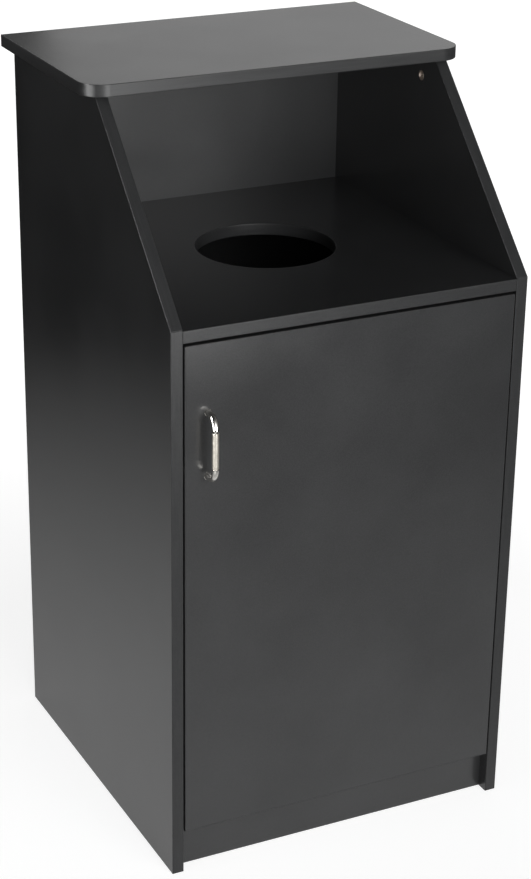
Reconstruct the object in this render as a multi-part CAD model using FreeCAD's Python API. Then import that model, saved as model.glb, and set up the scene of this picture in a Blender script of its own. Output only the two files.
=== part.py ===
import FreeCAD, Part
import math
import os

from FreeCAD import Vector

# A free-standing waste cabinet of laminated boards with glued edge strips. Cam locks, cam bolts and dowels
# hold the boards together. Waste goes through a round hole in the deck, under a hood with a sloped front,
# and one inset door on two concealed hinges closes the space for the bin below.
# Millimetres. +X is right, +Y is back, +Z is up. The origin is on the floor, in the middle of the
# footprint, with the pull handle included.

# Cabinet
overall_height = 1143.0
carcass_width = 562.0
carcass_depth = 580.0
break_height = 862.0
slope_run = 258.0

# Boards
side_thickness = 18.0
top_thickness = 18.0
deck_thickness = 18.0
back_thickness = 18.0
floor_thickness = 18.0
kick_thickness = 18.0
door_thickness = 18.0
back_inset = 2.0
top_side_overhang = 20.0
top_front_overhang = 21.0
top_corner_radius = 35.0
deck_drop = 1.0
hole_diameter = 210.0
hole_from_front = 285.0
kick_height = 66.0
kick_behind_door = 2.0
floor_behind_door = 15.5

# Edge strips
strip_thickness = 1.0
strip_round = 0.6

# Door and its gaps
door_height_off_floor = 69.0
door_head_gap = 4.5
door_latch_gap = 2.5
door_hinge_gap = 1.6

# Cam locks, cam bolts and dowels
cam_diameter = 15.0
cam_length = 12.5
cam_distance = 34.0
cam_setback = 37.0
cam_slot_width = 2.0
cam_slot_length = 9.0
cam_slot_depth = 3.0
bolt_head_diameter = 7.0
bolt_head_length = 3.0
bolt_neck_diameter = 5.0
bolt_thread_diameter = 6.0
bolt_thread_length = 11.0
bolt_bore_diameter = 8.0
dowel_diameter = 8.0
dowel_in_edge = 19.0
dowel_in_face = 11.0
dowel_chamfer = 1.0
dowel_from_cam = 64.0
back_cam_from_end = 160.0
wood_fit = 0.1

# Pull handle
handle_from_edge = 35.0
handle_below_top = 149.0
handle_hole_spacing = 96.0
handle_projection = 30.0
handle_bar_diameter = 10.0
handle_foot_diameter = 10.8
handle_bend_radius = 19.5
handle_grip_length = 53.0
handle_groove_width = 1.0
handle_groove_depth = 1.0
handle_spigot_diameter = 5.0
handle_spigot_length = 6.0
handle_grip_round = 0.4
handle_screw_diameter = 4.0
handle_screw_in_foot = 8.0
handle_screw_head_diameter = 8.0
handle_screw_head_height = 2.5
handle_hole_clearance = 0.5

# Concealed hinges: places are measured from the right panel's inner face and the door's back face
hinge_from_door_end = 100.0
cup_diameter = 35.0
cup_depth = 13.5
cup_wall = 0.8
cup_from_edge = 4.0
cup_flange_margin = 1.0
cup_flange_thickness = 0.8
cup_wing_width = 14.0
cup_wing_reach = 30.0
cup_screw_spacing = 48.0
cup_screw_offset = 6.0
cup_boss_gap = 0.7
cup_boss_width = 9.5
cup_boss_drop = 0.4
pivot_from_edge = 22.0
pivot_depth = 9.8
pin_diameter = 2.4
pin_fit = 0.05
pin_end_gap = 0.3
pin_reach = 12.0
arm_sheet = 2.5
arm_neck_height = 8.0
arm_nose_diameter = 5.2
arm_crank = 13.2
arm_reach = 26.0
arm_bend_radius = 1.5
arm_foot_front = 29.0
arm_back = 78.0
arm_cheek_sheet = 1.5
arm_cheek_gap = 0.4
arm_over_plate = 0.4
plate_thickness = 2.0
plate_wing_width = 12.0
plate_wing_height = 48.0
plate_hole_behind = 37.0
plate_hole_spacing = 32.0
plate_ridge_height = 6.0
plate_ridge_width = 6.0
plate_ridge_end = 76.0
hinge_screw_diameter = 4.0
hinge_screw_in_wood = 12.0
hinge_screw_head_diameter = 7.0
hinge_screw_head_height = 1.6
arm_screw_diameter = 4.0
arm_screw_head_diameter = 6.4
arm_screw_places = (54.0, 67.0)

# Door bumpers
bumper_diameter = 8.0
bumper_gap = 0.3
bumper_spacing = 320.0
bumper_round = 2.5

# Places that follow from the sizes above
front_y = handle_projection - (carcass_depth + handle_projection) / 2
back_y = front_y + carcass_depth
outer_x = carcass_width / 2
inner_x = outer_x - side_thickness
top_under = overall_height - top_thickness
slope_top_y = front_y + slope_run
back_rear_y = back_y - back_inset
back_face_y = back_rear_y - back_thickness
deck_top = break_height - deck_drop
deck_under = deck_top - deck_thickness
floor_top = kick_height + floor_thickness
door_back_y = front_y + door_thickness
kick_face_y = door_back_y + kick_behind_door
floor_front_y = door_back_y + floor_behind_door
door_left = -inner_x + door_latch_gap
door_right = inner_x - door_hinge_gap
door_top = deck_under - door_head_gap
hole_y = front_y + hole_from_front
handle_x = door_left + handle_from_edge
handle_z = door_top - handle_below_top
hinge_heights = {
    "lower": door_height_off_floor + hinge_from_door_end,
    "upper": door_top - hinge_from_door_end,
}

up = Vector(0, 0, 1)
down = Vector(0, 0, -1)
right = Vector(1, 0, 0)
backward = Vector(0, 1, 0)
forward = Vector(0, -1, 0)
match_tolerance = 1e-6

nodes = {}
bores = {}
cams = []
cam_bolts = []
dowels = []


def block(x0, x1, y0, y1, z0, z1):
    """Upright block between two corners."""
    return Part.makeBox(x1 - x0, y1 - y0, z1 - z0, Vector(x0, y0, z0))


def rod(start, direction, diameter, length):
    """Round bar from a start point along a direction."""
    return Part.makeCylinder(diameter / 2, length, start, direction)


def prism(corners, across):
    """Plate with a straight-sided outline, extruded along a vector."""
    return Part.Face(Part.makePolygon(corners + corners[:1])).extrude(across)


def joins(edge, ends):
    """True where an edge runs between the two end points."""
    points = [vertex.Point for vertex in edge.Vertexes]
    return len(points) == 2 and all(
        min(end.distanceToPoint(point) for point in points) < match_tolerance for end in ends
    )


def edge_strip(outer_start, outer_end, inner_end, inner_start, across):
    """Glued strip on a board's edge, with the two arrises of its outer face rounded."""
    strip = prism([outer_start, outer_end, inner_end, inner_start], across)
    arrises = []
    for shift in (Vector(), across):
        ends = (outer_start + shift, outer_end + shift)
        arrises += [edge for edge in strip.Edges if joins(edge, ends)]
    return strip.makeFillet(strip_round, arrises)


def drill(board, *tools):
    """Keep bores to be cut from a board once all of them are known."""
    bores.setdefault(board, []).extend(tools)


def cam_joint(cam_board, other_board, point, toward, face_normal, half_board):
    """Cam lock, its bolt and their bores.

    The point lies where the two boards meet, in the middle of the cam board's thickness. The bolt goes
    toward the other board, and the cam is let into the face that looks along face_normal.
    """
    centre = point - toward * cam_distance
    mouth = centre + face_normal * half_board
    cam = rod(mouth, -face_normal, cam_diameter, cam_length)
    for along in (toward, toward.cross(face_normal)):
        side = face_normal.cross(along)
        corner = mouth - along * (cam_slot_length / 2) - side * (cam_slot_width / 2)
        outline = [
            corner,
            corner + along * cam_slot_length,
            corner + along * cam_slot_length + side * cam_slot_width,
            corner + side * cam_slot_width,
        ]
        cam = cam.cut(prism(outline, -face_normal * cam_slot_depth))
    cavity_start = centre - toward * (bolt_head_length / 2 + wood_fit)
    cavity = rod(cavity_start, toward, bolt_head_diameter + 2 * wood_fit, cam_diameter)
    cams.append(cam.cut(cavity))

    head = rod(centre - toward * (bolt_head_length / 2), toward, bolt_head_diameter, bolt_head_length)
    neck = rod(centre, toward, bolt_neck_diameter, cam_distance)
    thread = rod(point, toward, bolt_thread_diameter, bolt_thread_length)
    cam_bolts.append(head.fuse([neck, thread]).removeSplitter())

    cam_bore = rod(mouth, -face_normal, cam_diameter + 2 * wood_fit, cam_length + wood_fit)
    neck_bore = rod(centre, toward, bolt_bore_diameter, cam_distance)
    thread_bore = rod(point, toward, bolt_thread_diameter + 2 * wood_fit, bolt_thread_length + wood_fit)
    drill(cam_board, cam_bore, neck_bore)
    drill(other_board, thread_bore)


def dowel_joint(edge_board, other_board, point, toward):
    """Wood dowel across the plane where a board's edge meets another board's face."""
    dowel = rod(point - toward * dowel_in_edge, toward, dowel_diameter, dowel_in_edge + dowel_in_face)
    rims = [edge for edge in dowel.Edges if isinstance(edge.Curve, Part.Circle)]
    dowels.append(dowel.makeChamfer(dowel_chamfer, rims))
    bore_diameter = dowel_diameter + 2 * wood_fit
    drill(edge_board, rod(point, -toward, bore_diameter, dowel_in_edge + wood_fit))
    drill(other_board, rod(point, toward, bore_diameter, dowel_in_face + wood_fit))


def join_boards():
    """All cam and dowel joints of the carcass, on its left and right."""
    for side, panel in ((-1, "left_side_panel"), (1, "right_side_panel")):
        middle_x = side * (outer_x - side_thickness / 2)
        meet_x = side * inner_x
        outward = Vector(side, 0, 0)
        rear_cam_y = back_face_y - cam_setback

        front_cam_y = slope_top_y + cam_setback
        for y in (front_cam_y, rear_cam_y):
            cam_joint(panel, "top_board", Vector(middle_x, y, top_under), up, -outward, side_thickness / 2)
        for y in (front_cam_y + dowel_from_cam, rear_cam_y - dowel_from_cam):
            dowel_joint(panel, "top_board", Vector(middle_x, y, top_under), up)

        shelves = (
            ("deck_board", front_y, deck_under, deck_thickness),
            ("floor_board", floor_front_y, kick_height, floor_thickness),
        )
        for board, start_y, under, thickness in shelves:
            z = under + thickness / 2
            for y in (start_y + cam_setback, rear_cam_y):
                cam_joint(board, panel, Vector(meet_x, y, z), outward, down, thickness / 2)
            for y in (start_y + cam_setback + dowel_from_cam, rear_cam_y - dowel_from_cam):
                dowel_joint(board, panel, Vector(meet_x, y, z), outward)

        kick_y = kick_face_y + kick_thickness / 2
        cam_point = Vector(meet_x, kick_y, kick_height / 3)
        cam_joint("kick_board", panel, cam_point, outward, backward, kick_thickness / 2)
        dowel_joint("kick_board", panel, Vector(meet_x, kick_y, kick_height * 2 / 3), outward)

        back_middle_y = back_face_y + back_thickness / 2
        for z, inward in ((back_cam_from_end, 1), (top_under - back_cam_from_end, -1)):
            cam_point = Vector(meet_x, back_middle_y, z)
            cam_joint("back_panel", panel, cam_point, outward, backward, back_thickness / 2)
            dowel_joint("back_panel", panel, cam_point + up * (inward * dowel_from_cam), outward)


def make_sides():
    """Side panels, each with edge strips on its front, its slope and its rear."""
    slope = Vector(0, slope_run, top_under - break_height)
    slope.normalize()
    inward = Vector(0, slope.z, -slope.y)
    to_corner = strip_thickness * (1 - inward.y) / slope.y
    to_top = (top_under - break_height - strip_thickness * inward.z) / slope.z
    for side, name in ((-1, "left"), (1, "right")):
        start_x = min(side * inner_x, side * outer_x)
        across = Vector(side_thickness, 0, 0)
        foot = Vector(start_x, front_y, 0)
        corner = Vector(start_x, front_y, break_height)
        slope_top = Vector(start_x, slope_top_y, top_under)
        rear_top = Vector(start_x, back_y, top_under)
        rear_foot = Vector(start_x, back_y, 0)
        inner_foot = foot + backward * strip_thickness
        inner_corner = corner + inward * strip_thickness + slope * to_corner
        inner_slope_top = corner + inward * strip_thickness + slope * to_top
        inner_rear_top = rear_top + forward * strip_thickness
        inner_rear_foot = rear_foot + forward * strip_thickness
        outline = [inner_foot, inner_corner, inner_slope_top, inner_rear_top, inner_rear_foot]
        nodes[f"{name}_side_panel"] = prism(outline, across)
        nodes[f"{name}_front_strip"] = edge_strip(foot, corner, inner_corner, inner_foot, across)
        nodes[f"{name}_slope_strip"] = edge_strip(corner, slope_top, inner_slope_top, inner_corner, across)
        nodes[f"{name}_rear_strip"] = edge_strip(rear_foot, rear_top, inner_rear_top, inner_rear_foot, across)


def top_outline(inset, rear_y):
    """Face of the top board at its underside: round front corners and square rear corners."""
    half = outer_x + top_side_overhang - inset
    start_y = slope_top_y - top_front_overhang + inset
    radius = top_corner_radius - inset
    diagonal = radius * (1 - math.sqrt(0.5))
    rear_left = Vector(-half, rear_y, top_under)
    left_end = Vector(-half, start_y + radius, top_under)
    left_middle = Vector(-half + diagonal, start_y + diagonal, top_under)
    left_start = Vector(-half + radius, start_y, top_under)
    right_start = Vector(half - radius, start_y, top_under)
    right_middle = Vector(half - diagonal, start_y + diagonal, top_under)
    right_end = Vector(half, start_y + radius, top_under)
    rear_right = Vector(half, rear_y, top_under)
    edges = [
        Part.LineSegment(rear_left, left_end).toShape(),
        Part.Arc(left_end, left_middle, left_start).toShape(),
        Part.LineSegment(left_start, right_start).toShape(),
        Part.Arc(right_start, right_middle, right_end).toShape(),
        Part.LineSegment(right_end, rear_right).toShape(),
        Part.LineSegment(rear_right, rear_left).toShape(),
    ]
    return Part.Face(Part.Wire(edges))


def make_top():
    """Top board, the strip round its front and sides, and its rear strip."""
    thick = up * top_thickness
    blank = top_outline(0, back_y).extrude(thick)
    arrises = []
    for edge in blank.Edges:
        box = edge.BoundBox
        level = box.ZLength < match_tolerance
        at_rear = box.YMin > back_y - match_tolerance
        if level and not at_rear:
            arrises.append(edge)
    blank = blank.makeFillet(strip_round, arrises)
    nodes["top_board"] = top_outline(strip_thickness, back_y - strip_thickness).extrude(thick)
    nodes["top_front_strip"] = blank.cut(top_outline(strip_thickness, back_y).extrude(thick))
    half = outer_x + top_side_overhang - strip_thickness
    nodes["top_rear_strip"] = edge_strip(
        Vector(-half, back_y, top_under),
        Vector(half, back_y, top_under),
        Vector(half, back_y - strip_thickness, top_under),
        Vector(-half, back_y - strip_thickness, top_under),
        thick,
    )


def make_shelf(name, start_y, under, thickness):
    """Level board between the sides, with a strip on its front edge."""
    strip_back = start_y + strip_thickness
    nodes[f"{name}_board"] = block(-inner_x, inner_x, strip_back, back_face_y, under, under + thickness)
    nodes[f"{name}_front_strip"] = edge_strip(
        Vector(-inner_x, start_y, under),
        Vector(inner_x, start_y, under),
        Vector(inner_x, strip_back, under),
        Vector(-inner_x, strip_back, under),
        up * thickness,
    )


def make_hole_lining():
    """Strip that lines the drop hole, and the hole that it sits in."""
    centre = Vector(0, hole_y, deck_under)
    opening = rod(centre, up, hole_diameter + 2 * strip_thickness, deck_thickness)
    nodes["deck_board"] = nodes["deck_board"].cut(opening)
    lining = opening.cut(rod(centre, up, hole_diameter, deck_thickness))
    rims = []
    for edge in lining.Edges:
        is_round = isinstance(edge.Curve, Part.Circle)
        if is_round and edge.Curve.Radius < hole_diameter / 2 + match_tolerance:
            rims.append(edge)
    nodes["deck_hole_strip"] = lining.makeFillet(strip_round, rims)


def make_upright_boards():
    """Back panel and kick board."""
    nodes["back_panel"] = block(-inner_x, inner_x, back_face_y, back_rear_y, 0, top_under)
    kick_rear_y = kick_face_y + kick_thickness
    nodes["kick_board"] = block(-inner_x, inner_x, kick_face_y, kick_rear_y, 0, kick_height)


def make_door():
    """Door panel with a strip on each of its four edges."""
    left = door_left
    bottom = door_height_off_floor
    across = backward * door_thickness
    core_left = left + strip_thickness
    core_right = door_right - strip_thickness
    core_bottom = bottom + strip_thickness
    core_top = door_top - strip_thickness
    nodes["door_panel"] = block(core_left, core_right, front_y, door_back_y, core_bottom, core_top)
    for name, outer, inner in (("left", left, core_left), ("right", door_right, core_right)):
        nodes[f"door_{name}_strip"] = edge_strip(
            Vector(outer, front_y, bottom),
            Vector(outer, front_y, door_top),
            Vector(inner, front_y, door_top),
            Vector(inner, front_y, bottom),
            across,
        )
    for name, outer, inner in (("bottom", bottom, core_bottom), ("top", door_top, core_top)):
        nodes[f"door_{name}_strip"] = edge_strip(
            Vector(core_left, front_y, outer),
            Vector(core_right, front_y, outer),
            Vector(core_right, front_y, inner),
            Vector(core_left, front_y, inner),
            across,
        )


def make_bumpers():
    """Soft stops on the floor board's front edge, just clear of the closed door."""
    z = (door_height_off_floor + floor_top) / 2
    length = floor_behind_door - bumper_gap
    stops = []
    for side in (-1, 1):
        start = Vector(side * bumper_spacing / 2, floor_front_y, z)
        stop = rod(start, forward, bumper_diameter, length)
        rims = [edge for edge in stop.Edges if edge.BoundBox.YMax < floor_front_y - match_tolerance]
        stops.append(stop.makeFillet(bumper_round, rims))
    nodes["door_bumpers"] = Part.makeCompound(stops)


def make_handle():
    """Bow pull: two curved ends, a straight grip between them, and the screws through the door."""
    bar_y = front_y - handle_projection + handle_bar_diameter / 2
    bend_start_y = bar_y + handle_bend_radius
    straight = front_y - bend_start_y
    bend_to_centre = handle_hole_spacing / 2 - handle_bend_radius
    end_straight = bend_to_centre - handle_groove_width - handle_grip_length / 2
    neck_diameter = handle_bar_diameter - 2 * handle_groove_depth
    grip_start = Vector(handle_x, bar_y, handle_z - handle_grip_length / 2)
    grip = rod(grip_start, up, handle_bar_diameter, handle_grip_length)
    grip_rims = [edge for edge in grip.Edges if isinstance(edge.Curve, Part.Circle)]
    grip = grip.makeFillet(handle_grip_round, grip_rims)
    screws = []
    for name, side in (("upper", 1), ("lower", -1)):
        inward = up * -side
        foot = Vector(handle_x, front_y, handle_z + side * handle_hole_spacing / 2)
        leg = Part.makeCone(handle_foot_diameter / 2, handle_bar_diameter / 2, straight, foot, forward)
        bend_start = foot + forward * straight
        circle = Part.makeCircle(handle_bar_diameter / 2, bend_start, forward)
        bend_centre = bend_start + inward * handle_bend_radius
        bend = Part.Face(Part.Wire(circle)).revolve(bend_centre, right, 90 * side)
        bend_end = bend_centre + forward * handle_bend_radius
        neck_start = bend_end + inward * end_straight
        spigot_start = neck_start + inward * handle_groove_width
        pieces = [
            bend,
            rod(bend_end, inward, handle_bar_diameter, end_straight),
            rod(neck_start, inward, neck_diameter, handle_groove_width),
            rod(spigot_start, inward, handle_spigot_diameter, handle_spigot_length),
        ]
        screw_bore = rod(foot, forward, handle_screw_diameter + 2 * wood_fit, handle_screw_in_foot + wood_fit)
        nodes[f"handle_{name}_end"] = leg.fuse(pieces).removeSplitter().cut(screw_bore)
        grip = grip.cut(
            rod(spigot_start, inward, handle_spigot_diameter + 2 * wood_fit, handle_spigot_length + wood_fit)
        )

        screw_back = Vector(handle_x, door_back_y, foot.z)
        shank_length = door_thickness + handle_screw_in_foot
        shank = rod(screw_back, forward, handle_screw_diameter, shank_length)
        head = rod(screw_back, backward, handle_screw_head_diameter, handle_screw_head_height)
        rims = [edge for edge in head.Edges if edge.BoundBox.YMin > door_back_y + match_tolerance]
        head = head.makeFillet(handle_screw_head_height / 2, rims)
        screws.append(head.fuse(shank).removeSplitter())
        hole = rod(foot, backward, handle_screw_diameter + 2 * handle_hole_clearance, door_thickness)
        drill("door_panel", hole)
    nodes["handle_grip"] = grip
    nodes["handle_screws"] = Part.makeCompound(screws)


def hinge_point(inward, behind, height):
    """Point at a distance inward from the right panel's inner face and behind the door's back face."""
    return Vector(inner_x - inward, door_back_y + behind, height)


def through(point, diameter, half_height):
    """Upright round bar centred on a point."""
    return rod(point + down * half_height, up, diameter, 2 * half_height)


def screw_head(seat, outward, diameter):
    """Low round screw head on a seat, with its outer rim rounded."""
    head = rod(seat, outward, diameter, hinge_screw_head_height)
    far_rim = max(head.Edges, key=lambda edge: (edge.CenterOfMass - seat).dot(outward))
    return head.makeFillet(hinge_screw_head_height / 2, [far_rim])


def hinge_screw(seat, outward, shank_length, head_diameter, shank_diameter):
    """Screw with its head on a seat, and the bore that its shank needs."""
    shank = rod(seat, -outward, shank_diameter, shank_length)
    bore = rod(seat, -outward, shank_diameter + 2 * wood_fit, shank_length + wood_fit)
    return screw_head(seat, outward, head_diameter).fuse(shank).removeSplitter(), bore


def make_hinge_cup(height, pivot):
    """Cup let into the door's back, with a winged flange and two bosses that hold the pin."""
    cup_in = door_hinge_gap + cup_from_edge + cup_diameter / 2
    mouth = hinge_point(cup_in, 0, height)
    hollow_depth = cup_depth - cup_wall
    bowl = rod(mouth, forward, cup_diameter, cup_depth)
    flange = rod(mouth, backward, cup_diameter + 2 * cup_flange_margin, cup_flange_thickness)
    wing_in = cup_in + cup_screw_offset
    wing_start = hinge_point(wing_in + cup_wing_width / 2, 0, height - cup_wing_reach)
    wings = Part.makeBox(cup_wing_width, cup_flange_thickness, 2 * cup_wing_reach, wing_start)
    hollow_start = mouth + backward * cup_flange_thickness
    hollow = rod(hollow_start, forward, cup_diameter - 2 * cup_wall, hollow_depth + cup_flange_thickness)
    cup = bowl.fuse([flange, wings]).removeSplitter().cut(hollow)
    boss_in = door_hinge_gap + pivot_from_edge + cup_boss_width / 2
    boss_start = arm_neck_height / 2 + cup_boss_gap
    for side in (1, -1):
        base = height + side * boss_start
        far = height + side * cup_diameter / 2
        corner = hinge_point(boss_in, -hollow_depth, min(base, far))
        boss = Part.makeBox(cup_boss_width, hollow_depth - cup_boss_drop, abs(far - base), corner)
        cup = cup.fuse(boss.common(bowl))
    cup = cup.removeSplitter().cut(through(pivot, pin_diameter + 2 * pin_fit, pin_reach + pin_end_gap))
    drill("door_panel", rod(mouth, forward, cup_diameter + 2 * wood_fit, cup_depth + wood_fit))
    screws = []
    for side in (1, -1):
        seat = hinge_point(wing_in, cup_flange_thickness, height + side * cup_screw_spacing / 2)
        screw, bore = hinge_screw(
            seat, backward, hinge_screw_in_wood, hinge_screw_head_diameter, hinge_screw_diameter
        )
        screws.append(screw)
        cup = cup.cut(bore)
        drill("door_panel", bore)
    return cup, screws


def make_hinge_plate(height):
    """Mounting plate on the side panel: two wings for its screws and a ridge that carries the arm."""
    ridge_start = plate_hole_behind - plate_wing_width / 2
    wing_corner = hinge_point(plate_thickness, ridge_start, height - plate_wing_height / 2)
    wings = Part.makeBox(plate_thickness, plate_wing_width, plate_wing_height, wing_corner)
    ridge_corner = hinge_point(plate_ridge_height, ridge_start, height - plate_ridge_width / 2)
    ridge = Part.makeBox(plate_ridge_height, plate_ridge_end - ridge_start, plate_ridge_width, ridge_corner)
    plate = wings.fuse(ridge).removeSplitter()
    screws = []
    for side in (1, -1):
        seat = hinge_point(plate_thickness, plate_hole_behind, height + side * plate_hole_spacing / 2)
        shank_length = hinge_screw_in_wood + plate_thickness
        screw, bore = hinge_screw(seat, -right, shank_length, hinge_screw_head_diameter, hinge_screw_diameter)
        screws.append(screw)
        plate = plate.cut(bore)
        drill("right_side_panel", bore)
    return plate, screws


def make_hinge_arm(height, pivot):
    """Cranked arm from the pin to a channel that sits over the plate's ridge.

    It leaves the pin sideways, so that it passes behind the cup's rim when the door stands open, then
    goes back past the door's edge and across to its foot.
    """
    half = arm_sheet / 2
    pivot_in = door_hinge_gap + pivot_from_edge
    neck_in = pivot_in + arm_crank
    cross_behind = arm_reach - pivot_depth
    foot_top = plate_ridge_height + arm_sheet
    outer_corners = [
        (neck_in + half, -pivot_depth - half),
        (neck_in + half, cross_behind + half),
        (plate_ridge_height, cross_behind - half),
    ]
    inner_corners = [
        (neck_in - half, -pivot_depth + half),
        (neck_in - half, cross_behind - half),
        (foot_top, cross_behind + half),
    ]
    outline = [
        (pivot_in, -pivot_depth - half),
        outer_corners[0],
        outer_corners[1],
        inner_corners[2],
        (foot_top, arm_back),
        (plate_ridge_height, arm_back),
        outer_corners[2],
        inner_corners[1],
        inner_corners[0],
        (pivot_in, -pivot_depth + half),
    ]
    base = height - arm_neck_height / 2
    strip = prism([hinge_point(*place, base) for place in outline], up * arm_neck_height)
    for corners, radius in ((outer_corners, arm_bend_radius + arm_sheet), (inner_corners, arm_bend_radius)):
        places = [hinge_point(*place, height) for place in corners]
        edges = [
            edge for edge in strip.Edges
            if any((edge.CenterOfMass - place).Length < match_tolerance for place in places)
        ]
        strip = strip.makeFillet(radius, edges)
    cheek_start = plate_ridge_width / 2 + arm_cheek_gap
    cheek_end = cheek_start + arm_cheek_sheet
    foot_length = arm_back - arm_foot_front
    web_corner = hinge_point(foot_top, arm_foot_front, height - cheek_end)
    pieces = [
        through(pivot, arm_nose_diameter, arm_neck_height / 2),
        Part.makeBox(arm_sheet, foot_length, 2 * cheek_end, web_corner),
    ]
    cheek_depth = foot_top - plate_thickness - arm_over_plate
    for cheek_base in (cheek_start, -cheek_end):
        cheek_corner = hinge_point(foot_top, arm_foot_front, height + cheek_base)
        pieces.append(Part.makeBox(cheek_depth, foot_length, arm_cheek_sheet, cheek_corner))
    arm = strip.fuse(pieces).removeSplitter()
    return arm.cut(through(pivot, pin_diameter + 2 * pin_fit, arm_neck_height))


def make_hinges():
    """Two concealed hinges, each with a cup, a pin, a cranked arm, a mounting plate and screws."""
    pins = []
    cup_screws = []
    plate_screws = []
    arm_screws = []
    for name, height in hinge_heights.items():
        pivot = hinge_point(door_hinge_gap + pivot_from_edge, -pivot_depth, height)
        pins.append(through(pivot, pin_diameter, pin_reach))
        nodes[f"{name}_hinge_cup"], screws = make_hinge_cup(height, pivot)
        cup_screws += screws
        plate, screws = make_hinge_plate(height)
        plate_screws += screws
        arm = make_hinge_arm(height, pivot)
        for behind in arm_screw_places:
            seat = hinge_point(plate_ridge_height + arm_sheet, behind, height)
            shank_length = plate_ridge_height + arm_sheet - plate_thickness
            screw, bore = hinge_screw(seat, -right, shank_length, arm_screw_head_diameter, arm_screw_diameter)
            arm_screws.append(screw)
            arm = arm.cut(bore)
            plate = plate.cut(bore)
        nodes[f"{name}_hinge_arm"] = arm
        nodes[f"{name}_hinge_plate"] = plate
    nodes["hinge_pins"] = Part.makeCompound(pins)
    nodes["hinge_cup_screws"] = Part.makeCompound(cup_screws)
    nodes["hinge_plate_screws"] = Part.makeCompound(plate_screws)
    nodes["hinge_arm_screws"] = Part.makeCompound(arm_screws)


make_sides()
make_top()
make_shelf("deck", front_y, deck_under, deck_thickness)
make_shelf("floor", floor_front_y, kick_height, floor_thickness)
make_hole_lining()
make_upright_boards()
make_door()
make_bumpers()
make_handle()
make_hinges()
join_boards()
for board, tools in bores.items():
    nodes[board] = nodes[board].cut(tools)
nodes["cam_locks"] = Part.makeCompound(cams)
nodes["cam_bolts"] = Part.makeCompound(cam_bolts)
nodes["wood_dowels"] = Part.makeCompound(dowels)

os.makedirs("parts", exist_ok=True)
for name, shape in nodes.items():
    sound = shape.isValid() and all(solid.Volume > 0 for solid in shape.Solids)
    verdict = "sound" if sound else "FAULTY"
    print(f"{name}: {len(shape.Solids)} solids, {shape.Volume / 1000:.2f} cm3, {verdict}")
    shape.exportStep(f"parts/{name}.step")
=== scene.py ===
"""Finishes and fine metal pieces of a black waste cabinet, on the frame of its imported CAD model."""

import logging
import math
from collections.abc import Callable, Iterator
from dataclasses import dataclass
from enum import Enum

import bmesh
import bpy
from mathutils import Matrix, Vector


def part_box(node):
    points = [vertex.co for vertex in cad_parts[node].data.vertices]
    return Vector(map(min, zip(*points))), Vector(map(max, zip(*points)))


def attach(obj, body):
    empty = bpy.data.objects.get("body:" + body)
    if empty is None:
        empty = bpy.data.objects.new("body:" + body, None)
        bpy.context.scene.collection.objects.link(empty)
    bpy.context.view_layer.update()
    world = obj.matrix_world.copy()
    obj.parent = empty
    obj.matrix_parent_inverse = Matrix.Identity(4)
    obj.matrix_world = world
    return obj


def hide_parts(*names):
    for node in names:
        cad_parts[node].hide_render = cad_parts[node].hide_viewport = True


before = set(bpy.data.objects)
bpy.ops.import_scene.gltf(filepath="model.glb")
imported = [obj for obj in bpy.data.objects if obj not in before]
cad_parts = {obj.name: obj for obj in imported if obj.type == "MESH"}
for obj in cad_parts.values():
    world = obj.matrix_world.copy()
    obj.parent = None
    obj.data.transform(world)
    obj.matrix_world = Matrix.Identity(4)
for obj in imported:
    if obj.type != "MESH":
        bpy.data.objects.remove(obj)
log = logging.getLogger("waste_cabinet")

Pair = tuple[float, float]
Range = Pair
Triple = tuple[float, float, float]
Colour = Triple
Socket = bpy.types.NodeSocket

RIGHT = Vector((1, 0, 0))
BACK = Vector((0, 1, 0))
UP = Vector((0, 0, 1))
MILLIMETRE = 0.001
SAME_PLACE = 1e-7
ROUNDED_FROM = math.radians(35)
SMOOTH_UP_TO = math.radians(32)
SQUARE_ON = 0.9

# Values that one noise, or two added up, mostly stay between
NOISE: Range = (0.3, 0.7)
NOISE_MIDDLE: Range = (0.35, 0.65)
TWO_NOISES: Range = (0.7, 1.3)
TWO_NOISES_MIDDLE: Range = (0.75, 1.25)

NONE_TO_ALL: Range = (0.0, 1.0)
ALL_TO_NONE: Range = (1.0, 0.0)
FINE_DETAIL = 3.0
FINEST_DETAIL = 4.0
WHITE: Colour = (1.0, 1.0, 1.0)
MADE: dict[str, bpy.types.Material] = {}


def opaque(colour: Colour) -> tuple[float, float, float, float]:
    """A colour with full alpha, as the sockets take it."""
    return (*colour, 1.0)


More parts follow.
